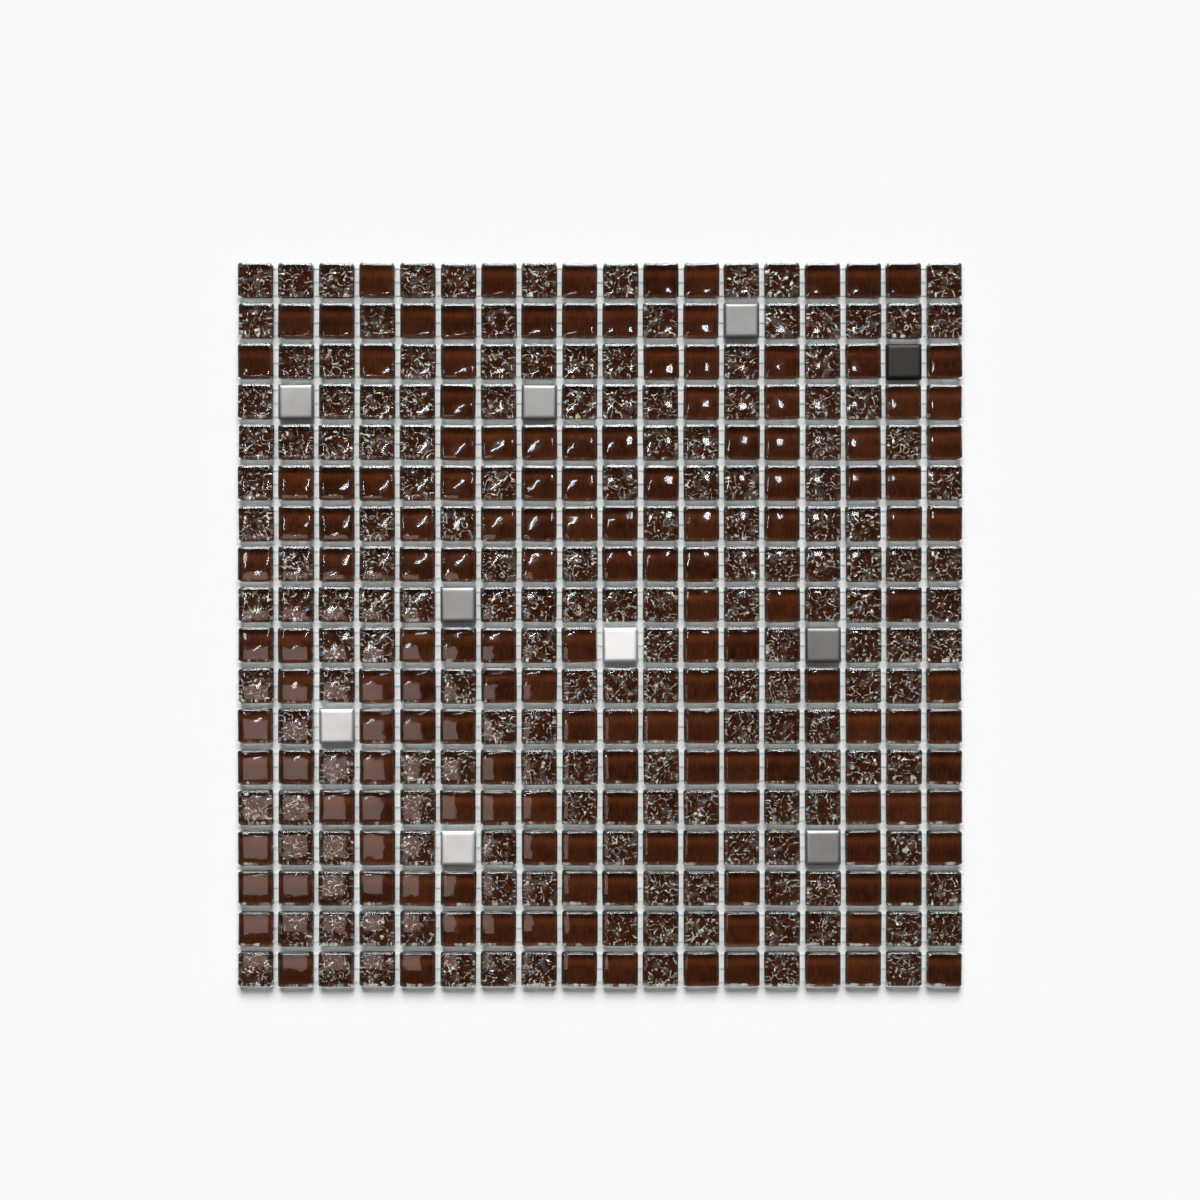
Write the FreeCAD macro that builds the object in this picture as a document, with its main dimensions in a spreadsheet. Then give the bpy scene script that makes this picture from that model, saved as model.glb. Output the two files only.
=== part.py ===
"""Mosaic tile sheet: glass and steel-capped tiles glued face up to a net of glass-fibre yarns.

Millimetres. The origin is the centre of the sheet's underside, +Z points out of its face
and +Y towards the edge that is the top one when the sheet is hung.
"""

import FreeCAD, Part
import Sketcher

import os
import random

# The driving dimensions and what each one is.
SIZES = {
    "tile_width": (14.5, "side of a glass tile"),
    "tile_thickness": (4.0, "height of every tile above the net"),
    "joint_width": (2.15, "gap between neighbouring glass tiles"),
    "rim_bevel": (0.5, "bevel round the polished face of a glass tile"),
    "cap_oversize": (0.1, "how much wider a steel cap is than a glass tile"),
    "cap_sheet": (0.4, "thickness of the pressed steel"),
    "cap_bevel": (1.2, "pressed bevel round the top of a steel cap"),
    "cap_corner": (0.8, "cut across the upright corners of a steel cap"),
    "glue_line": (0.1, "glue between a steel cap and its ceramic core"),
    "yarn_width": (1.0, "width of a flat yarn of the net"),
    "yarn_thickness": (0.25, "thickness of a flat yarn of the net"),
    "laying_shift": (0.2, "most that a tile lies off its place along a row or a column"),
    "laying_turn": (0.8, "most degrees that a tile is turned"),
}

YARNS_PER_TILE = 3
LAYING_SEED = 18

# Which tile lies where, from the top row down: s smooth glass, c crackle glass, m steel cap.
LAYING_PLAN = (
    "cccsccscscssccsssc",
    "csscsscssscsmccccc",
    "sccscsccccsscscsms",
    "cmcccscmcccscsccss",
    "cccccsssssccsscscs",
    "cssscscsscsccscssc",
    "csscscsssscscsccss",
    "scscsscscssscccccc",
    "cccccmcccccscsccsc",
    "ssccssscsmcsscmccc",
    "cscsscsscccsccsccs",
    "scmsssccsssscccsss",
    "sscsccsccscssscccs",
    "ccsscssscsccsccsss",
    "sccscmcsscssccmscs",
    "sscsssccssccsccssc",
    "sccccsssscccsccscc",
    "csccscccsscsscsscs",
)
ROWS = len(LAYING_PLAN)
COLUMNS = len(LAYING_PLAN[0])

# Sizes that follow from the driving ones.
PITCH = "(sizes.tile_width + sizes.joint_width)"
SHEET_WIDTH = f"{COLUMNS} * {PITCH}"
SHEET_HEIGHT = f"{ROWS} * {PITCH}"
CAP_WIDTH = "(sizes.tile_width + sizes.cap_oversize)"
CORE_INSET = "(sizes.cap_sheet + sizes.glue_line)"
YARN_SPACING = f"{PITCH} / {YARNS_PER_TILE}"
NET_TOP = "2 * sizes.yarn_thickness"
# A bevel at 45 degrees shrinks by this share of the distance when its solid is offset inwards.
BEVEL_SHRINK = "(2 - sqrt(2))"

doc = FreeCAD.newDocument("mosaic_tile_sheet")


def make_sizes():
    """The spreadsheet of driving dimensions: name, value and meaning in each row."""
    sheet = doc.addObject("Spreadsheet::Sheet", "sizes")
    for line, (name, (value, meaning)) in enumerate(SIZES.items(), start=1):
        sheet.set(f"A{line}", name)
        sheet.set(f"B{line}", str(value))
        sheet.setAlias(f"B{line}", name)
        sheet.set(f"C{line}", meaning)
    doc.recompute()


def origin_item(body, role):
    """One of a body's own origin planes or axes."""
    return next(item for item in body.Origin.OriginFeatures if item.Role == role)


def base_sketch(body, name):
    """An empty sketch on the body's own base plane."""
    sketch = body.newObject("Sketcher::SketchObject", name)
    sketch.AttachmentSupport = [(origin_item(body, "XY_Plane"), "")]
    sketch.MapMode = "FlatFace"
    return sketch


def draw_loop(sketch, points):
    """Closes straight lines through the points, each line joined to the next."""
    corners = [FreeCAD.Vector(x, y, 0) for x, y in points]
    for start, end in zip(corners, corners[1:] + corners[:1]):
        sketch.addGeometry(Part.LineSegment(start, end))
    for line in range(len(corners)):
        following = (line + 1) % len(corners)
        sketch.addConstraint(Sketcher.Constraint("Coincident", line, 2, following, 1))


def bind_distance(sketch, kind, ends, guess, size):
    """Adds a distance between two sketch points and binds it to a size."""
    index = sketch.addConstraint(Sketcher.Constraint(kind, *ends, guess))
    sketch.setExpression(f"Constraints[{index}]", size)


def rectangle_slab(body, name, width, depth, height):
    """Pads a rectangle centred on the origin."""
    sketch = base_sketch(body, f"{name}_outline")
    draw_loop(sketch, [(-5, -5), (5, -5), (5, 5), (-5, 5)])
    for line in (0, 2):
        sketch.addConstraint(Sketcher.Constraint("Horizontal", line))
    for line in (1, 3):
        sketch.addConstraint(Sketcher.Constraint("Vertical", line))
    sketch.addConstraint(Sketcher.Constraint("Symmetric", 0, 1, 1, 2, -1, 1))
    bind_distance(sketch, "DistanceX", (0, 1, 0, 2), 10, width)
    bind_distance(sketch, "DistanceY", (1, 1, 1, 2), 10, depth)
    slab = body.newObject("PartDesign::Pad", f"{name}_slab")
    slab.Profile = sketch
    slab.setExpression("Length", height)
    doc.recompute()
    return slab


def top_edges(shape):
    """Names of the edges round the top face."""
    top = shape.BoundBox.ZMax
    return [f"Edge{number}" for number, edge in enumerate(shape.Edges, start=1)
            if all(abs(corner.Z - top) < 1e-6 for corner in edge.Vertexes)]


def upright_edges(shape):
    """Names of the edges that stand upright at the corners."""
    return [f"Edge{number}" for number, edge in enumerate(shape.Edges, start=1)
            if abs(abs(edge.tangentAt(edge.FirstParameter).z) - 1) < 1e-6]


def underside(shape):
    """Name of the lowest face."""
    heights = [face.CenterOfMass.z for face in shape.Faces]
    return f"Face{heights.index(min(heights)) + 1}"


def bevel(body, name, base, edges, size):
    """Chamfers the named edges of the base feature."""
    feature = body.newObject("PartDesign::Chamfer", name)
    feature.Base = (base, edges)
    feature.setExpression("Size", size)
    doc.recompute()
    return feature


def make_glass_tile():
    """A glass chip: a slab with a bevelled rim, its corners cut to where the rim bevels meet."""
    body = doc.addObject("PartDesign::Body", "glass_tile")
    slab = rectangle_slab(body, "tile", "sizes.tile_width", "sizes.tile_width", "sizes.tile_thickness")
    bevel(body, "polished_rim", slab, top_edges(slab.Shape), "sizes.rim_bevel")

    corner = base_sketch(body, "corner_outline")
    draw_loop(corner, [(6, 6), (5, 6), (6, 5)])
    corner.addConstraint(Sketcher.Constraint("Horizontal", 0))
    corner.addConstraint(Sketcher.Constraint("Vertical", 2))
    bind_distance(corner, "DistanceX", (-1, 1, 0, 1), 6, "sizes.tile_width / 2")
    bind_distance(corner, "DistanceY", (-1, 1, 0, 1), 6, "sizes.tile_width / 2")
    bind_distance(corner, "DistanceX", (0, 2, 0, 1), 1, "2 * sizes.rim_bevel")
    bind_distance(corner, "DistanceY", (1, 2, 0, 1), 1, "2 * sizes.rim_bevel")
    cut = body.newObject("PartDesign::Pocket", "corner_cut")
    cut.Profile = corner
    cut.Type = "ThroughAll"
    cut.Midplane = True
    doc.recompute()

    cuts = body.newObject("PartDesign::PolarPattern", "corner_cuts")
    cuts.Originals = [cut]
    cuts.Axis = (origin_item(body, "Z_Axis"), [""])
    cuts.Angle = 360
    cuts.Occurrences = 4
    body.Tip = cuts
    doc.recompute()
    return body


def make_steel_cap():
    """A cap pressed from sheet steel: a bevelled top and a skirt, open underneath."""
    body = doc.addObject("PartDesign::Body", "steel_cap")
    slab = rectangle_slab(body, "cap", CAP_WIDTH, CAP_WIDTH, "sizes.tile_thickness")
    top = bevel(body, "pressed_bevel", slab, top_edges(slab.Shape), "sizes.cap_bevel")
    block = bevel(body, "cap_corners", top, upright_edges(top.Shape), "sizes.cap_corner")
    shell = body.newObject("PartDesign::Thickness", "sheet_steel")
    shell.Base = (block, [underside(block.Shape)])
    shell.Join = "Intersection"
    shell.Reversed = True
    shell.setExpression("Value", "sizes.cap_sheet")
    body.Tip = shell
    doc.recompute()
    return body


def make_ceramic_core():
    """The fired block that fills a steel cap, a glue line clear of it all round."""
    body = doc.addObject("PartDesign::Body", "ceramic_core")
    width = f"{CAP_WIDTH} - 2 * {CORE_INSET}"
    slab = rectangle_slab(body, "core", width, width, f"sizes.tile_thickness - {CORE_INSET}")
    top = bevel(body, "core_bevel", slab, top_edges(slab.Shape),
                f"sizes.cap_bevel - {BEVEL_SHRINK} * {CORE_INSET}")
    bevel(body, "core_corners", top, upright_edges(top.Shape),
          f"sizes.cap_corner - {BEVEL_SHRINK} * {CORE_INSET}")
    return body


def make_yarn(name, length):
    """One flat yarn of the net, lying along X."""
    body = doc.addObject("PartDesign::Body", name)
    rectangle_slab(body, name, length, "sizes.yarn_width", "sizes.yarn_thickness")
    return body


def place_copy(name, master, x, y, z, turn):
    """A copy of a master piece, with its place and its turn about Z bound to the sizes."""
    copy = doc.addObject("App::Link", name)
    copy.Label = name
    copy.LinkedObject = master
    copy.Placement = FreeCAD.Placement(FreeCAD.Vector(), FreeCAD.Rotation(FreeCAD.Vector(0, 0, 1), 1))
    copy.setExpression(".Placement.Base.x", x)
    copy.setExpression(".Placement.Base.y", y)
    copy.setExpression(".Placement.Base.z", z)
    copy.setExpression(".Placement.Rotation.Angle", turn)
    return copy


def group(name, copies):
    """The like pieces that share a node, as separate solids."""
    compound = doc.addObject("Part::Compound", name)
    compound.Label = name
    compound.Links = copies
    return compound


def lay_tiles():
    """Lays every tile of the plan on the net, each with its own small laying error."""
    glass_tile = make_glass_tile()
    steel_cap = make_steel_cap()
    ceramic_core = make_ceramic_core()
    error = random.Random(LAYING_SEED)
    nodes = []
    caps = 0
    for row, letters in enumerate(LAYING_PLAN):
        laid = {"s": [], "c": []}
        for column, letter in enumerate(letters):
            shift_x, shift_y, turn = (round(error.uniform(-1, 1), 3) for _ in range(3))
            place = (
                f"{column - (COLUMNS - 1) / 2} * {PITCH} + {shift_x} * sizes.laying_shift",
                f"{(ROWS - 1) / 2 - row} * {PITCH} + {shift_y} * sizes.laying_shift",
                NET_TOP,
                f"{turn} * sizes.laying_turn",
            )
            if letter == "m":
                caps += 1
                nodes.append(place_copy(f"steel_cap_{caps:02d}", steel_cap, *place))
                nodes.append(place_copy(f"ceramic_core_{caps:02d}", ceramic_core, *place))
            else:
                name = f"glass_{row + 1:02d}_{column + 1:02d}"
                laid[letter].append(place_copy(name, glass_tile, *place))
        nodes.append(group(f"smooth_glass_row_{row + 1:02d}", laid["s"]))
        nodes.append(group(f"crackle_glass_row_{row + 1:02d}", laid["c"]))
    return nodes


def weave_net():
    """The net: warp yarns up the sheet, and weft yarns across on top of them."""
    warp = make_yarn("warp_yarn", SHEET_HEIGHT)
    weft = make_yarn("weft_yarn", SHEET_WIDTH)
    warps = []
    for number in range(YARNS_PER_TILE * COLUMNS):
        offset = f"{number - (YARNS_PER_TILE * COLUMNS - 1) / 2} * {YARN_SPACING}"
        warps.append(place_copy(f"warp_{number + 1:02d}", warp, offset, "0", "0", "90"))
    wefts = []
    for number in range(YARNS_PER_TILE * ROWS):
        offset = f"{number - (YARNS_PER_TILE * ROWS - 1) / 2} * {YARN_SPACING}"
        wefts.append(place_copy(f"weft_{number + 1:02d}", weft, "0", offset, "sizes.yarn_thickness", "0"))
    return [group("net_warp_yarns", warps), group("net_weft_yarns", wefts)]


def check_model(nodes):
    """Stops if any object failed to compute or any node has no valid shape."""
    for item in doc.Objects:
        if {"Invalid", "Error"} & set(item.State):
            raise RuntimeError(f"{item.Label} did not compute: {item.State}")
    for node in nodes:
        shape = Part.getShape(node)
        if shape.isNull() or not shape.isValid() or not shape.Solids:
            raise RuntimeError(f"{node.Label} has no valid solid")


make_sizes()
nodes = weave_net() + lay_tiles()
doc.recompute()
check_model(nodes)

os.makedirs("parts", exist_ok=True)
for node in nodes:
    Part.getShape(node).exportStep(f"parts/{node.Label}.step")
print(f"{len(nodes)} nodes, {sum(len(Part.getShape(node).Solids) for node in nodes)} solids")
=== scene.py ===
"""The mosaic tile sheet's looks: glass chips on a brown coat, crackle glass, steel caps and a woven net."""

import math
import random

import bmesh
import bpy
from mathutils import Matrix, Vector


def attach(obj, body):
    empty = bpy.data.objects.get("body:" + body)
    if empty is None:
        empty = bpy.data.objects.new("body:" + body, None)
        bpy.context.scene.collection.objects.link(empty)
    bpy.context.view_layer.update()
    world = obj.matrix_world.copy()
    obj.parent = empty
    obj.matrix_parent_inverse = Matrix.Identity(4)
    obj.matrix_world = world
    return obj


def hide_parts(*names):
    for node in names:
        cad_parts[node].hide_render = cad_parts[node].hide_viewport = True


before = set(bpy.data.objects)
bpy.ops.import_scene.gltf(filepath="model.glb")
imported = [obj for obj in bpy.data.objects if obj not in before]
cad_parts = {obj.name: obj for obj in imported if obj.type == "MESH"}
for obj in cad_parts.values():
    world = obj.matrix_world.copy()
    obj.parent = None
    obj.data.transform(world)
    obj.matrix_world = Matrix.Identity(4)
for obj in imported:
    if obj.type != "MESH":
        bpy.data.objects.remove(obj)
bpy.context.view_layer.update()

MM = 0.001

# Two places or heights nearer than this are one, in fresh work and in work that has been moved.
EXACT = 1e-6
NEARLY = 1e-5

# Glass chips. The middle of a face is flat, up to a line on each side, and its edges fall away from there.
CHIP_CORNER = 0.8 * MM
CHIP_RIM = 0.85 * MM
FACE_FLAT = 4.6 * MM
FACE_FALL = 0.11 * MM
CHIP_TILT = 0.006
CHIP_RIPPLE = 0.004 * MM

# The coat on a chip's back is a tray, and the glass starts a little way inside it.
COAT_THICKNESS = 0.12 * MM
COAT_MARGIN = 0.25 * MM
COAT_REACH = 0.02 * MM
LIP_HEIGHT = 0.3 * MM
LIP_WIDTH = 0.15 * MM

# Steel caps. Each has its own painted sheen, from dark to bright: a base colour brightness that stands in
# for how much light its face mirrors.
CAP_CORNER = 0.4 * MM
CAP_BEVEL = 1.4 * MM
CAP_BEVEL_PROFILE = 0.42
CAP_FLAT = 0.96
CAP_PAINTED_SHEENS = (0.26, 0.0, 0.35, 0.30, 0.31, 0.91, 0.20, 0.74, 0.80, 0.33)

# Woven net.
YARN_WIDTH = 1.0 * MM
YARN_THICKNESS = 0.25 * MM
YARN_SIDES = 6

# Colours of the finishes. A pair is the darkest and the brightest.
GLASS_TINT = (0.94, 0.985, 0.97)
COAT_BROWNS = (0.040, 0.009, 0.003), (0.20, 0.052, 0.015)
# A pale orange, painted on as light along the lower sides of the smooth chips.
EDGE_LIGHT_ORANGE = (0.50, 0.20, 0.06)
# A white, laid in ragged marks along the lower side of some chips.
LOWER_SIDE_WHITE = (0.80, 0.77, 0.70)
CRACKLE_BROWNS = (0.02, 0.005, 0.002), (0.15, 0.040, 0.012)
# A near-black, painted on as shade under the upper sides of the crackle chips.
CRACKLE_PAINTED_SHADE = (0.03, 0.010, 0.006)
SILVERS = (0.68, 0.55, 0.49), (1.0, 0.96, 0.93)
FOIL_BLUE = (0.3, 0.55, 0.9)
FOIL_YELLOW = (0.85, 0.8, 0.3)
STEEL_GREYS = (0.05, 0.048, 0.044), (0.98, 1.0, 1.0)
CLAYS = (0.50, 0.43, 0.34), (0.72, 0.66, 0.56)
YARN_WHITES = (0.68, 0.82, 0.80), (0.82, 0.96, 0.94)
FLOOR_WHITE = (0.93, 0.93, 0.93)
VEIL_PINK = (1.0, 0.74, 0.68)

# Painted light and shade on the brown coat at each height up a chip, from 0 at its lower side to 1 at its
# upper side: a painted bright line along the lower side, a painted shadow band under the upper side and a
# painted pool of light just below that band.
COAT_PAINTED_LIGHT = ((0.03, 0.95), (0.08, 0.62), (0.15, 0.36), (0.42, 0.32), (0.55, 0.44),
                 (0.68, 0.80), (0.74, 0.70), (0.82, 0.22), (0.90, 0.12))

# Levels of the sky. Its dark patch overhead fades out between two angles, in degrees from straight up.
SKY_SIDES = 0.12
SKY_ABOVE = 0.04
SKY_WINDOW = 2.0
DARK_PATCH = 16, 24

# The daylight's height above the horizon and its width are in degrees.
DAYLIGHT_HEIGHT = 42
DAYLIGHT_WIDTH = 38
DAYLIGHT_LEVEL = 3.2

# Lamps hang over the sheet. The small step sideways in straight down settles how a lamp is turned.
LAMP_HEIGHT = 0.87
DOWN = (0, -0.0001, -LAMP_HEIGHT)

# The camera looks straight down; the numbers in pixels are places in the square photograph.
PHOTO_PIXELS = 1200
SHEET_CENTRE_ROW = 624.8
PIXELS_PER_METRE = 2437
CAMERA_HEIGHT = 0.87

dice = random.Random(5)

# The lamps light only the gleaming pieces, and only the steel mirrors the daylight.
GLEAMING = bpy.data.collections.new("gleaming")
STEEL = bpy.data.collections.new("steel")


# Selecting and modelling


def deselect_all():
    """Leaves nothing selected."""
    bpy.ops.object.select_all(action="DESELECT")


def make_active(piece):
    """Selects one piece alone and makes it the active one."""
    deselect_all()
    piece.select_set(True)
    bpy.context.view_layer.objects.active = piece


def add_block(name, width, low, high):
    """A square block from height low to height high, centred on the origin."""
    deselect_all()
    bpy.ops.mesh.primitive_cube_add(
        size=1, location=(0, 0, (low + high) / 2), scale=(width, width, high - low))
    block = bpy.context.object
    block.name = block.data.name = name
    bpy.ops.object.transform_apply(location=True, rotation=True, scale=True)
    return block


def pick(piece, kind, rule):
    """Enters edit mode with only the corners, edges or faces selected that the rule accepts."""
    make_active(piece)
    bpy.ops.object.mode_set(mode="EDIT")
    bpy.ops.mesh.select_mode(type=kind)
    bpy.ops.mesh.select_all(action="DESELECT")
    bpy.ops.object.mode_set(mode="OBJECT")
    mesh = piece.data
    if kind == "VERT":
        for vertex in mesh.vertices:
            vertex.select = rule([vertex.co])
    else:
        for element in mesh.edges if kind == "EDGE" else mesh.polygons:
            element.select = rule([mesh.vertices[index].co for index in element.vertices])
    bpy.ops.object.mode_set(mode="EDIT")


def leave_edit():
    """Back to object mode."""
    bpy.ops.object.mode_set(mode="OBJECT")


def upright(corners):
    """True for an edge that stands upright."""
    return (corners[0] - corners[1]).xy.length < EXACT


def all_at(height):
    """A rule that accepts what lies wholly at one height."""
    return lambda corners: all(abs(corner.z - height) < EXACT for corner in corners)


def on_diagonals(corners):
    """True for an edge that lies above a diagonal of the base, as the corners of a square block do."""
    return all(abs(abs(corner.x) - abs(corner.y)) < EXACT for corner in corners)


def smooth_shade(piece, degrees):
    """Smooth shading, with edges sharper than the angle kept crisp."""
    make_active(piece)
    bpy.ops.object.shade_smooth_by_angle(angle=math.radians(degrees))


def copy_to(master, name, centre, turn):
    """A copy with its own mesh, turned about Z and moved to its place in the sheet."""
    piece = master.copy()
    piece.data = master.data.copy()
    piece.name = name
    bpy.context.scene.collection.objects.link(piece)
    piece.data.transform(Matrix.Translation((centre.x, centre.y, 0)) @ Matrix.Rotation(turn, 4, "Z"))
    return piece


def mark(piece, name, number_at):
    """Keeps a number at each point of the mesh, for its shader."""
    marks = piece.data.attributes.new(name, "FLOAT", "POINT").data
    for vertex, kept in zip(piece.data.vertices, marks):
        kept.value = number_at(vertex.co)


def join(pieces, name):
    """Joins pieces into one mesh."""
    make_active(pieces[0])
    for piece in pieces:
        piece.select_set(True)
    if len(pieces) > 1:
        bpy.ops.object.join()
    joined = bpy.context.object
    joined.name = joined.data.name = name
    return joined


def finish_piece(piece, material, slot, *nodes):
    """Gives a piece its material and body, and hides the nodes that it stands for. The slot is not used."""
    piece.data.materials.clear()
    piece.data.materials.append(material)
    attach(piece, "root")
    if nodes:
        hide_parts(*nodes)


# Where the chips lie


def islands(node):
    """The points of each separate solid of a CAD node, from left to right."""
    solids = bmesh.new()
    solids.from_mesh(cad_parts[node].data)
    bmesh.ops.remove_doubles(solids, verts=solids.verts, dist=EXACT)
    met = set()
    found = []
    for start in solids.verts:
        if start in met:
            continue
        met.add(start)
        reached = [start]
        for vertex in reached:
            for edge in vertex.link_edges:
                neighbour = edge.other_vert(vertex)
                if neighbour not in met:
                    met.add(neighbour)
                    reached.append(neighbour)
        found.append([vertex.co.copy() for vertex in reached])
    solids.free()
    return sorted(found, key=lambda points: min(point.x for point in points))


def place_of(points):
    """The centre of a chip's underside and its turn about Z, from its points."""
    low = min(point.z for point in points)
    foot = [point for point in points if point.z < low + NEARLY]
    centre = sum(foot, Vector()) / len(foot)
    foot.sort(key=lambda point: math.atan2(point.y - centre.y, point.x - centre.x))
    sides = [after - before for before, after in zip(foot, foot[1:] + foot[:1])]
    longest = max(sides, key=lambda side: side.length)
    turn = math.atan2(longest.y, longest.x)
    quarter = math.pi / 2
    turn -= quarter * round(turn / quarter)
    return centre, turn


def width_of(points):
    """A chip's side, measured square to its own turn."""
    turn = place_of(points)[1]
    across = [point.x * math.cos(turn) + point.y * math.sin(turn) for point in points]
    return max(across) - min(across)


SMOOTH_NODES = sorted(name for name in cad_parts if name.startswith("smooth_glass_row"))
CRACKLE_NODES = sorted(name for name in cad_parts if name.startswith("crackle_glass_row"))
CAP_NODES = sorted(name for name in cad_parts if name.startswith("steel_cap"))
CORE_NODES = sorted(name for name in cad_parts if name.startswith("ceramic_core"))

FIRST_CHIP = islands(SMOOTH_NODES[0])[0]
CHIP_WIDTH = width_of(FIRST_CHIP)
CHIP_FOOT = min(point.z for point in FIRST_CHIP)
CHIP_TOP = max(point.z for point in FIRST_CHIP)


# Shaders


class Socket:
    """A shader value that takes part in plain arithmetic."""

    def __init__(self, nodes, socket):
        self.nodes = nodes
        self.socket = socket

    def maths(self, operation, *values):
        """A Math node on some values."""
        return self.nodes.node("ShaderNodeMath", {"operation": operation}, dict(enumerate(values)))

    def __add__(self, other):
        return self.maths("ADD", self, other)

    __radd__ = __add__

    def __mul__(self, other):
        return self.maths("MULTIPLY", self, other)

    __rmul__ = __mul__

    def __sub__(self, other):
        return self.maths("SUBTRACT", self, other)

    def __rsub__(self, other):
        return self.maths("SUBTRACT", other, self)

    def __abs__(self):
        return self.maths("ABSOLUTE", self)


class Nodes:
    """A node tree with a short way to add and link nodes."""

    def __init__(self, tree):
        self.tree = tree

    def node(self, kind, settings=None, inputs=None, output=0):
        """Adds a node: its settings first, then the values or links of its sockets."""
        node = self.tree.nodes.new(kind)
        for name, value in (settings or {}).items():
            if name == "stops":
                self.set_stops(node.color_ramp, value)
            else:
                setattr(node, name, value)
        for name, value in (inputs or {}).items():
            self.feed(node.inputs[name], value)
        return Socket(self, node.outputs[output])

    def feed(self, socket, value):
        """Links a socket or sets its value. A colour is written as three numbers."""
        if isinstance(value, Socket):
            self.tree.links.new(value.socket, socket)
        elif socket.type == "RGBA":
            socket.default_value = (*value, 1.0)
        else:
            socket.default_value = value

    @staticmethod
    def set_stops(ramp, stops):
        """Gives a colour ramp its stops, each a position and a grey level."""
        while len(ramp.elements) < len(stops):
            ramp.elements.new(1.0)
        for element, (position, level) in zip(ramp.elements, stops):
            element.position = position
            element.color = (level, level, level, 1.0)

    def clamped(self, value):
        """A value held between 0 and 1."""
        return self.node("ShaderNodeClamp", inputs={"Value": value})

    def fade(self, value, start, end):
        """Rises smoothly from 0 at the start value to 1 at the end value."""
        return self.node("ShaderNodeMapRange", {"interpolation_type": "SMOOTHSTEP"}, {
            "Value": value, "From Min": start, "From Max": end})


class Material(Nodes):
    """A material with one Principled shader, built node by node."""

    def __init__(self, name):
        self.data = bpy.data.materials.new(name)
        self.data.use_nodes = True
        super().__init__(self.data.node_tree)
        self.shader = next(node for node in self.tree.nodes if node.type == "BSDF_PRINCIPLED")

    def set(self, **values):
        """Sets the Principled shader's sockets, written with underscores, and returns the material."""
        for name, value in values.items():
            self.feed(self.shader.inputs[name.replace("_", " ")], value)
        return self.data

    def where(self):
        """The object coordinates, which are metres in the sheet's own frame."""
        return self.node("ShaderNodeTexCoord", output="Object")

    def stretched(self, scale):
        """The object coordinates, scaled along each axis."""
        return self.node("ShaderNodeMapping", inputs={"Vector": self.where(), "Scale": scale})

    def noise(self, vector, scale, detail=2.0, roughness=0.5, distortion=0.0, output=0):
        """Fractal noise from 0 to 1."""
        return self.node("ShaderNodeTexNoise", inputs={
            "Vector": vector, "Scale": scale, "Detail": detail, "Roughness": roughness,
            "Distortion": distortion}, output=output)

    def cells(self, feature, vector, scale, output="Distance"):
        """A pattern of irregular cells."""
        return self.node("ShaderNodeTexVoronoi", {"feature": feature}, {
            "Vector": vector, "Scale": scale}, output=output)

    def ramp(self, value, *stops):
        """A value passed through a ramp of grey levels."""
        return self.node("ShaderNodeValToRGB", {"stops": stops}, {"Fac": value})

    def mix(self, share, first, second):
        """A mix of two colours, which are the Mix node's sockets 6 and 7."""
        return self.node("ShaderNodeMix", {"data_type": "RGBA"}, {0: share, 6: first, 7: second}, output=2)

    def bump(self, height, strength, distance):
        """A bumped normal."""
        return self.node("ShaderNodeBump", inputs={
            "Height": height, "Strength": strength, "Distance": distance})

    def attribute(self, name):
        """A number kept on the mesh."""
        return self.node("ShaderNodeAttribute", {"attribute_name": name}, output="Fac")


def clear_glass():
    """Clear fire-polished glass, a little wavy, with the faint green of a thick edge."""
    m = Material("clear_glass")
    waves = m.noise(m.where(), 200.0, 1.0)
    return m.set(
        Base_Color=GLASS_TINT, Transmission_Weight=1.0, Roughness=0.06, IOR=1.5,
        Normal=m.bump(waves, 1.0, 0.08 * MM))


def white_along_lower_side(m):
    """Where the coat turns white in ragged marks along a chip's lower side, on some chips."""
    ragged = m.attribute("rise") + m.noise(m.where(), 700.0) * 0.12
    some = m.noise(m.where(), 180.0, 0.0)
    return m.fade(ragged, 0.15, 0.12) * m.fade(some, 0.52, 0.58)


def brown_coat():
    """The brown coat under smooth glass: streaked, with a painted shadow band along its upper side and
    painted light below that band and along its lower side.
    """
    m = Material("brown_coat")
    rise = m.attribute("rise")
    tone = m.attribute("tone")
    streaks = m.noise(m.stretched((1.0, 0.12, 1.0)), 1900.0, 3.0, 0.6)
    clouds = m.noise(m.where(), 160.0)
    # Painted light and shade by height up the chip: a shadow band under the upper side, a pool of light
    # below it and a bright lower side.
    painted_light_band = m.ramp(rise, *COAT_PAINTED_LIGHT)
    light = m.clamped(painted_light_band * 0.9 + (streaks - 0.5) * 0.9 + (clouds - 0.5) * 0.5 + (tone - 0.5) * 0.25)
    # Painted light: a pale orange line along the lower side of some chips, where light gathers in the
    # glass.
    painted_edge_light = m.fade(rise, 0.085, 0.03) * m.fade(m.noise(m.where(), 350.0), 0.35, 0.6) * m.fade(tone, 0.2, 0.7)
    colour = m.mix(painted_edge_light, m.mix(light, *COAT_BROWNS), EDGE_LIGHT_ORANGE)
    colour = m.mix(white_along_lower_side(m), colour, LOWER_SIDE_WHITE)
    return m.set(Base_Color=colour, Roughness=0.45, Specular_IOR_Level=0.0)


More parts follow.
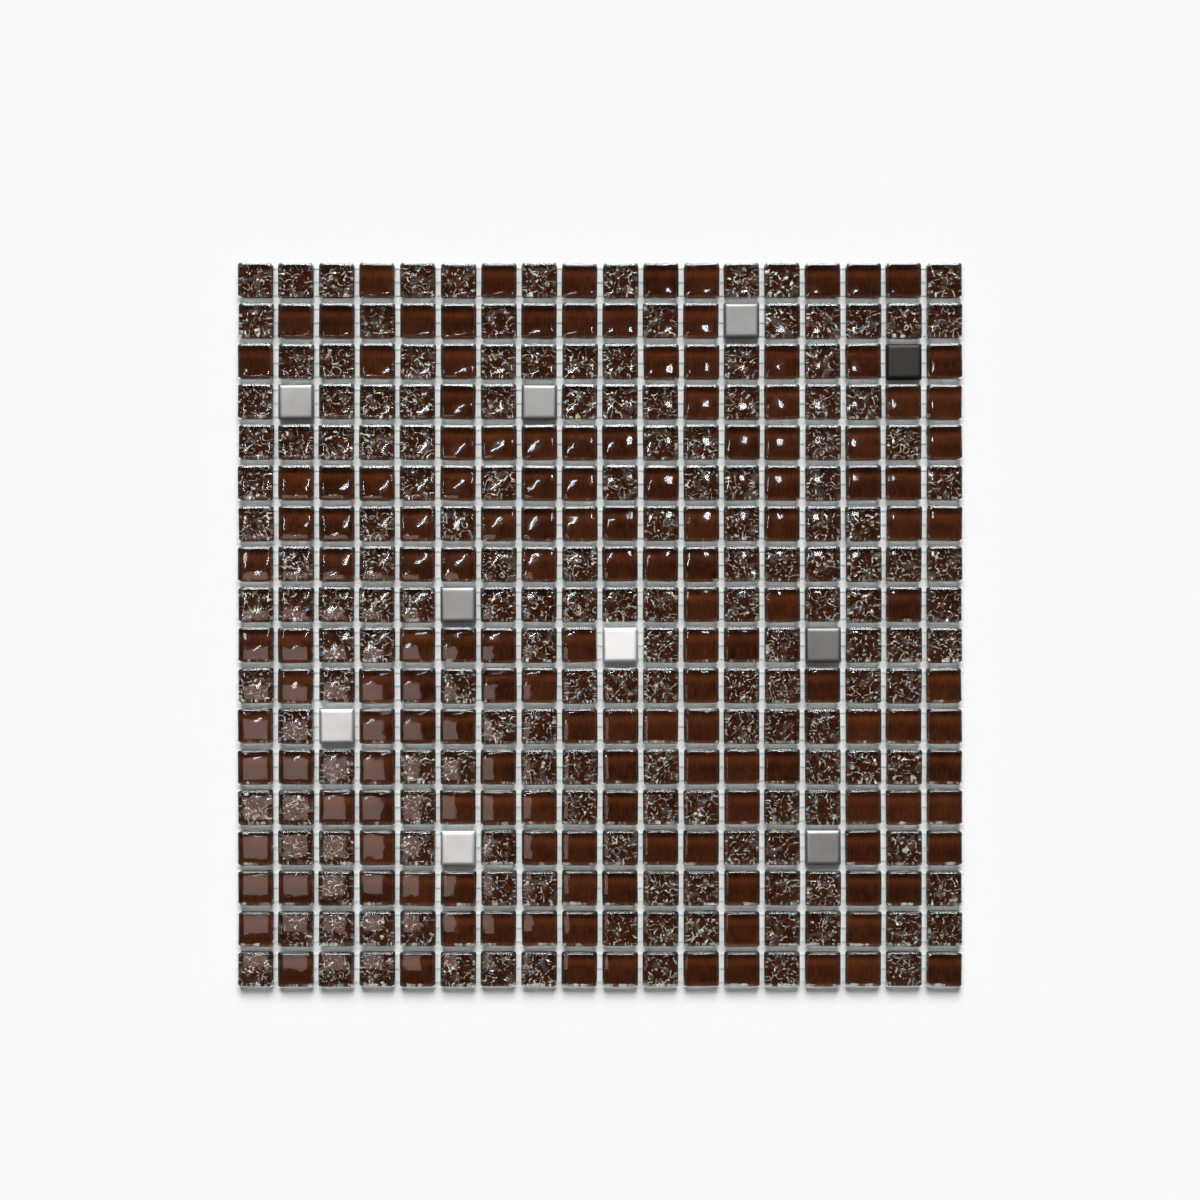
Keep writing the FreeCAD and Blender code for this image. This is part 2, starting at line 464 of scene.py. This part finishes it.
def crackle_coat():
    """The brown coat under crackle glass, with curled strokes, cracks, smudges and dots of silver, and a
    painted shadow band along its upper side.
    """
    m = Material("crackle_coat")
    where = m.where()
    warp = m.noise(where, 380.0, output="Color")
    bent = m.node("ShaderNodeVectorMath", {"operation": "MULTIPLY_ADD"}, {
        0: warp, 1: (3 * MM, 3 * MM, 3 * MM), 2: where})

    broken = m.noise(where, 480.0, 1.0)
    patchy = m.noise(where, 230.0, 1.0)
    curls = m.fade(abs(m.noise(where, 240.0, 0.0, distortion=1.2) - 0.5), 0.048, 0.018)
    cracks = m.fade(m.cells("DISTANCE_TO_EDGE", bent, 240.0), 0.060, 0.022)
    strokes = curls * m.fade(broken, 0.50, 0.58) + cracks * m.fade(broken, 0.46, 0.38)
    smudges = m.fade(patchy, 0.52, 0.68)
    dots = m.fade(m.cells("F1", where, 480.0), 0.24, 0.12) * m.fade(patchy, 0.40, 0.60)
    silver = m.clamped(strokes + smudges * 0.12 + dots)

    facets = m.cells("F1", bent, 620.0, output="Color")
    grey = m.node("ShaderNodeSeparateColor", inputs={"Color": facets})
    tinted = m.fade(m.noise(bent, 500.0, 0.0), 0.62, 0.66)
    shine = m.mix(tinted, m.mix(grey, *SILVERS), m.mix(grey, FOIL_BLUE, FOIL_YELLOW))
    brown = m.mix(m.noise(where, 300.0), *CRACKLE_BROWNS)
    # Painted shade: a near-black band under each chip's upper side.
    painted_shade_band = m.ramp(m.attribute("rise"), (0.05, 0.0), (0.80, 0.0), (0.92, 0.8))
    colour = m.mix(painted_shade_band, m.mix(silver, brown, shine), CRACKLE_PAINTED_SHADE)
    colour = m.mix(white_along_lower_side(m), colour, LOWER_SIDE_WHITE)
    folds = m.noise(where, 1000.0, 1.0) + grey * 0.5
    return m.set(
        Base_Color=colour, Metallic=silver * 0.6, Roughness=0.28, Specular_IOR_Level=0.0,
        Normal=m.bump(folds, 1.0, 0.8 * MM))


def brushed_steel():
    """Stainless steel with a fine short brushing, its base colour darkened or brightened per cap as a
    painted reflection.
    """
    m = Material("brushed_steel")
    brushing = m.noise(m.stretched((1.0, 0.06, 1.0)), 9000.0, 3.0, 0.6)
    clouds = m.noise(m.where(), 90.0, 1.0)
    # Painted reflection: on the caps this number darkens or brightens the steel, as though its face
    # mirrored less or more light. On the coats it is a tone that differs at random.
    tone = m.clamped(m.attribute("tone") * (0.72 + clouds * 0.4 + brushing * 0.16))
    return m.set(
        Base_Color=m.mix(tone, *STEEL_GREYS), Metallic=1.0, Roughness=brushing * 0.2 + 0.4,
        Normal=m.bump(brushing, 0.25, 0.02 * MM))


def fired_clay():
    """Unglazed ceramic, sandy and slightly mottled."""
    m = Material("fired_clay")
    grain = m.noise(m.where(), 2500.0, 4.0)
    return m.set(
        Base_Color=m.mix(grain, *CLAYS), Roughness=0.85,
        Normal=m.bump(grain, 0.5, 0.1 * MM))


def glass_yarn(name, stretch):
    """White glass-fibre yarn with the fine lines of its fibres."""
    m = Material(name)
    fibres = m.noise(m.stretched(stretch), 6000.0)
    return m.set(
        Base_Color=m.mix(fibres, *YARN_WHITES), Roughness=0.5,
        Normal=m.bump(fibres, 0.4, 0.05 * MM))


# Glass chips


def model_glass_chip():
    """A chip with a rounded rim and a face that falls away towards each of its sides."""
    chip = add_block("glass_chip", CHIP_WIDTH, CHIP_FOOT + COAT_REACH, CHIP_TOP)
    pick(chip, "EDGE", all_at(CHIP_TOP))
    bpy.ops.mesh.bevel(offset=CHIP_RIM, segments=2, affect="EDGES")
    leave_edit()
    pick(chip, "EDGE", on_diagonals)
    bpy.ops.mesh.bevel(offset=CHIP_CORNER, segments=2, affect="EDGES")
    leave_edit()
    rim_foot = CHIP_TOP - CHIP_RIM - EXACT
    for axis in (Vector((1, 0, 0)), Vector((0, 1, 0))):
        for side in (-1, 1):
            pick(chip, "FACE", lambda corners: all(corner.z > rim_foot for corner in corners))
            bpy.ops.mesh.bisect(plane_co=axis * side * FACE_FLAT, plane_no=axis)
            leave_edit()
    for axis in (0, 1):
        pick(chip, "VERT", lambda corners: all(
            abs(corner[axis]) > FACE_FLAT + NEARLY and corner.z > CHIP_TOP - MM for corner in corners))
        bpy.ops.transform.translate(value=(0, 0, -FACE_FALL))
        leave_edit()
    smooth_shade(chip, 50)
    return chip


def model_coat():
    """The coat on the back of a chip, which runs a little way up inside the chip's sides."""
    top = CHIP_FOOT + COAT_THICKNESS + LIP_HEIGHT
    coat = add_block("coat", CHIP_WIDTH - 2 * COAT_MARGIN, CHIP_FOOT, top)
    pick(coat, "EDGE", upright)
    bpy.ops.mesh.bevel(offset=CHIP_CORNER, segments=1, affect="EDGES")
    leave_edit()
    pick(coat, "FACE", all_at(top))
    bpy.ops.mesh.inset(thickness=LIP_WIDTH)
    bpy.ops.mesh.extrude_region()
    bpy.ops.transform.translate(value=(0, 0, -LIP_HEIGHT))
    leave_edit()
    mark(coat, "rise", lambda point: 0.5 + point.y / CHIP_WIDTH)
    return coat


def vary_face(mesh, centre):
    """Tips and ripples a chip's face a little, and leaves its foot where it is."""
    tilt = dice.uniform(-CHIP_TILT, CHIP_TILT), dice.uniform(-CHIP_TILT, CHIP_TILT)
    sink = (abs(tilt[0]) + abs(tilt[1])) * CHIP_WIDTH / 2 + CHIP_RIPPLE
    for vertex in mesh.vertices:
        if vertex.co.z > (CHIP_FOOT + CHIP_TOP) / 2:
            vertex.co.z += tilt[0] * (vertex.co.x - centre.x) + tilt[1] * (vertex.co.y - centre.y) - sink
            vertex.co.z += dice.uniform(-CHIP_RIPPLE, CHIP_RIPPLE)


def lay_glass(nodes, chip_master, glass, coat_master, coat_finish, slot):
    """Lays the chips of some rows, each row one piece of glass and all their coats one piece."""
    coats = []
    for node in nodes:
        chips = []
        for points in islands(node):
            centre, turn = place_of(points)
            chip = copy_to(chip_master, "chip", centre, turn + math.radians(90) * dice.randrange(4))
            vary_face(chip.data, centre)
            chips.append(chip)
            tone = dice.random()
            coat = copy_to(coat_master, "coat", centre, turn)
            mark(coat, "tone", lambda point: tone)
            coats.append(coat)
        row = join(chips, node.replace("_row_", "_chips_"))
        finish_piece(row, glass, slot, node)
        GLEAMING.objects.link(row)
    finish_piece(join(coats, f"{slot}_coats"), coat_finish, slot)


# Steel caps and their cores


def model_steel_cap(points):
    """A pressed cap with rounded bevels."""
    low = min(point.z for point in points)
    high = max(point.z for point in points)
    half = width_of(points) / 2
    cap = add_block("cap", 2 * half, low, high)
    pick(cap, "EDGE", all_at(high))
    bpy.ops.mesh.bevel(offset=CAP_BEVEL, segments=5, profile=CAP_BEVEL_PROFILE, affect="EDGES")
    leave_edit()
    pick(cap, "EDGE", on_diagonals)
    bpy.ops.mesh.bevel(offset=CAP_CORNER, segments=3, affect="EDGES")
    leave_edit()
    pick(cap, "FACE", all_at(high))
    bpy.ops.mesh.extrude_region()
    bpy.ops.transform.resize(value=(CAP_FLAT, CAP_FLAT, 1), center_override=(0, 0, 0))
    leave_edit()
    for vertex in cap.data.vertices:
        vertex.co.x, vertex.co.y = (max(-half, min(part, half)) for part in vertex.co.xy)
        vertex.co.z = min(vertex.co.z, high)
    smooth_shade(cap, 40)
    return cap


def lay_caps():
    """The steel caps, each where its node is."""
    steel = brushed_steel()
    master = model_steel_cap(islands(CAP_NODES[0])[0])
    # Each cap gets its painted sheen, a brightness that stands in for the light its face mirrors.
    for node, tone in zip(CAP_NODES, CAP_PAINTED_SHEENS):
        centre, turn = place_of(islands(node)[0])
        cap = copy_to(master, node.replace("steel_cap", "pressed_cap"), centre, turn)
        mark(cap, "tone", lambda point: tone)
        finish_piece(cap, steel, "steel", node)
        GLEAMING.objects.link(cap)
        STEEL.objects.link(cap)
    bpy.data.objects.remove(master)


def finish_cores():
    """The ceramic cores keep their shape and are given their material."""
    clay = fired_clay()
    for node in CORE_NODES:
        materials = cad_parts[node].data.materials
        materials.clear()
        materials.append(clay)


# Woven net


def model_yarn(pitch, crossings):
    """A flat yarn along Y that goes over and under the yarns that it crosses."""
    deselect_all()
    bpy.ops.mesh.primitive_cylinder_add(
        vertices=YARN_SIDES, radius=0.5, depth=2 * pitch, end_fill_type="NOTHING",
        location=(0, 0, YARN_THICKNESS), rotation=(math.pi / 2, 0, 0),
        scale=(YARN_WIDTH, YARN_THICKNESS, 1))
    yarn = bpy.context.object
    yarn.name = yarn.data.name = "yarn"
    bpy.ops.object.transform_apply(location=True, rotation=True, scale=True)
    for side in (-1, 1):
        pick(yarn, "FACE", lambda corners: True)
        bpy.ops.mesh.bisect(plane_co=(0, side * pitch / 2, 0), plane_no=(0, 1, 0))
        leave_edit()
        pick(yarn, "VERT", lambda corners: abs(corners[0].y - side * pitch / 2) < EXACT)
        bpy.ops.transform.translate(value=(0, 0, side * YARN_THICKNESS / 2))
        leave_edit()
    repeats = yarn.modifiers.new("repeats", "ARRAY")
    repeats.count = crossings // 2
    repeats.use_relative_offset = False
    repeats.use_constant_offset = True
    repeats.constant_offset_displace = (0, 2 * pitch, 0)
    repeats.use_merge_vertices = True
    repeats.merge_threshold = NEARLY
    make_active(yarn)
    bpy.ops.object.modifier_apply(modifier="repeats")
    yarn.data.transform(Matrix.Translation((0, -pitch * (crossings - 2) / 2, 0)))
    end = pitch * crossings / 2
    pick(yarn, "EDGE", lambda corners: all(abs(abs(corner.y) - end) < NEARLY for corner in corners))
    bpy.ops.mesh.edge_face_add()
    leave_edit()
    smooth_shade(yarn, 60)
    return yarn


def weave_net():
    """The two sets of yarns, woven through each other: every second yarn is turned end for end."""
    warp = [place_of(points)[0].x for points in islands("net_warp_yarns")]
    weft = sorted(place_of(points)[0].y for points in islands("net_weft_yarns"))
    pitch = (weft[-1] - weft[0]) / (len(weft) - 1)
    yarn = model_yarn(pitch, len(weft))
    lengthways = [
        copy_to(yarn, "yarn", Vector((x, 0, 0)), math.pi * (index % 2))
        for index, x in enumerate(warp)]
    crossways = [
        copy_to(yarn, "yarn", Vector((0, y, 0)), math.pi * (0.5 - index % 2))
        for index, y in enumerate(weft)]
    bpy.data.objects.remove(yarn)
    warp_fibre = glass_yarn("warp_yarn", (1.0, 0.05, 1.0))
    weft_fibre = glass_yarn("weft_yarn", (0.05, 1.0, 1.0))
    finish_piece(join(lengthways, "warp_yarns"), warp_fibre, "net", "net_warp_yarns")
    finish_piece(join(crossways, "weft_yarns"), weft_fibre, "net", "net_weft_yarns")


# Floor, light and camera


def lay_floor():
    """A plain near-white floor."""
    deselect_all()
    bpy.ops.mesh.primitive_plane_add(size=8)
    floor = bpy.context.object
    floor.name = "floor"
    floor.data.materials.append(Material("floor_paint").set(
        Base_Color=FLOOR_WHITE, Roughness=0.9, Specular_IOR_Level=0.0))


def light_sky():
    """A dim sky, dark overhead, with a window beyond the sheet's top edge. The camera sees it white."""
    world = bpy.data.worlds.new("studio")
    bpy.context.scene.world = world
    world.use_nodes = True
    sky = Nodes(world.node_tree)
    background = next(node for node in sky.tree.nodes if node.type == "BACKGROUND")
    direction = sky.node("ShaderNodeTexCoord", output="Generated")
    across, along, up = (
        sky.node("ShaderNodeSeparateXYZ", inputs={"Vector": direction}, output=axis) for axis in "XYZ")

    inner, outer = (math.cos(math.radians(degrees)) for degrees in DARK_PATCH)
    overhead = sky.fade(up, outer, inner)
    window = (sky.fade(abs(across), 0.50, 0.30) * sky.fade(along, 0.0, 0.1)
              * sky.fade(up, 0.30, 0.45) * sky.fade(up, 0.90, 0.82))
    light = SKY_SIDES - overhead * (SKY_SIDES - SKY_ABOVE) + window * SKY_WINDOW
    seen = sky.node("ShaderNodeLightPath", output="Is Camera Ray")
    sky.feed(background.inputs["Color"], (1.0, 1.0, 1.0))
    sky.feed(background.inputs["Strength"], seen + (1 - seen) * light)


def add_lamp(name, location, size, radiance, towards=DOWN, spread=180, turn=0, colour=(1, 1, 1)):
    """A rectangular lamp that shows only as a gleam. Its spread and its turn are in degrees."""
    data = bpy.data.lights.new(name, "AREA")
    data.shape = "RECTANGLE"
    data.size, data.size_y = size
    data.energy = radiance * size[0] * size[1] * math.pi
    data.color = colour
    data.spread = math.radians(spread)
    data.cycles.max_bounces = 0
    lamp = bpy.data.objects.new(name, data)
    bpy.context.scene.collection.objects.link(lamp)
    facing = Vector(towards).to_track_quat("-Z", "Y").to_matrix().to_4x4()
    lamp.matrix_world = Matrix.Translation(location) @ facing @ Matrix.Rotation(math.radians(turn), 4, "Z")
    lamp.visible_camera = lamp.visible_diffuse = lamp.visible_transmission = False
    lamp.light_linking.receiver_collection = GLEAMING


def add_daylight(name, lit=None, mirrored=False):
    """Soft light from beyond the sheet's top edge, on all there is or only on what is in a collection."""
    data = bpy.data.lights.new(name, "SUN")
    data.energy = DAYLIGHT_LEVEL
    data.angle = math.radians(DAYLIGHT_WIDTH)
    daylight = bpy.data.objects.new(name, data)
    bpy.context.scene.collection.objects.link(daylight)
    daylight.rotation_euler = (math.radians(DAYLIGHT_HEIGHT - 90), 0, 0)
    daylight.visible_camera = False
    daylight.visible_glossy = mirrored
    daylight.light_linking.receiver_collection = lit


def aim_camera():
    """The camera, straight above the sheet, with the sheet where the photograph has it."""
    data = bpy.data.cameras.new("camera")
    camera = bpy.data.objects.new("camera", data)
    bpy.context.scene.collection.objects.link(camera)
    camera.location = (0, 0, CHIP_TOP + CAMERA_HEIGHT)
    view_width = PHOTO_PIXELS / PIXELS_PER_METRE
    data.lens = data.sensor_width * CAMERA_HEIGHT / view_width
    data.shift_y = (SHEET_CENTRE_ROW - PHOTO_PIXELS / 2) / PHOTO_PIXELS
    bpy.context.scene.camera = camera


# The sheet

GLASS = clear_glass()
CHIP = model_glass_chip()
COAT = model_coat()
lay_glass(SMOOTH_NODES, CHIP, GLASS, COAT, brown_coat(), "smooth_glass")
lay_glass(CRACKLE_NODES, CHIP, GLASS, COAT, crackle_coat(), "crackle_glass")
bpy.data.objects.remove(CHIP)
bpy.data.objects.remove(COAT)
lay_caps()
finish_cores()
weave_net()

lay_floor()
light_sky()
add_daylight("daylight")
add_daylight("daylight_on_steel", STEEL, mirrored=True)
add_lamp("strip_light", (-0.042, 0.240, 0.15), (0.170, 0.050), 0.5, towards=(0, -0.11, -0.15), spread=34)
add_lamp("veil", (-0.270, -0.160, LAMP_HEIGHT), (0.280, 0.240), 2.6, colour=VEIL_PINK)
add_lamp("tube", (-0.100, 0.100, LAMP_HEIGHT), (0.130, 0.018), 24.0, turn=42)
add_lamp("bulb", (0.127, 0.160, LAMP_HEIGHT), (0.040, 0.050), 22.0)
add_lamp("left_tube", (-0.380, 0.090, LAMP_HEIGHT), (0.020, 0.120), 16.0)
add_lamp("lower_tube", (-0.250, -0.035, LAMP_HEIGHT), (0.070, 0.016), 20.0, turn=30)
aim_camera()
bpy.context.scene.view_settings.view_transform = "Standard"
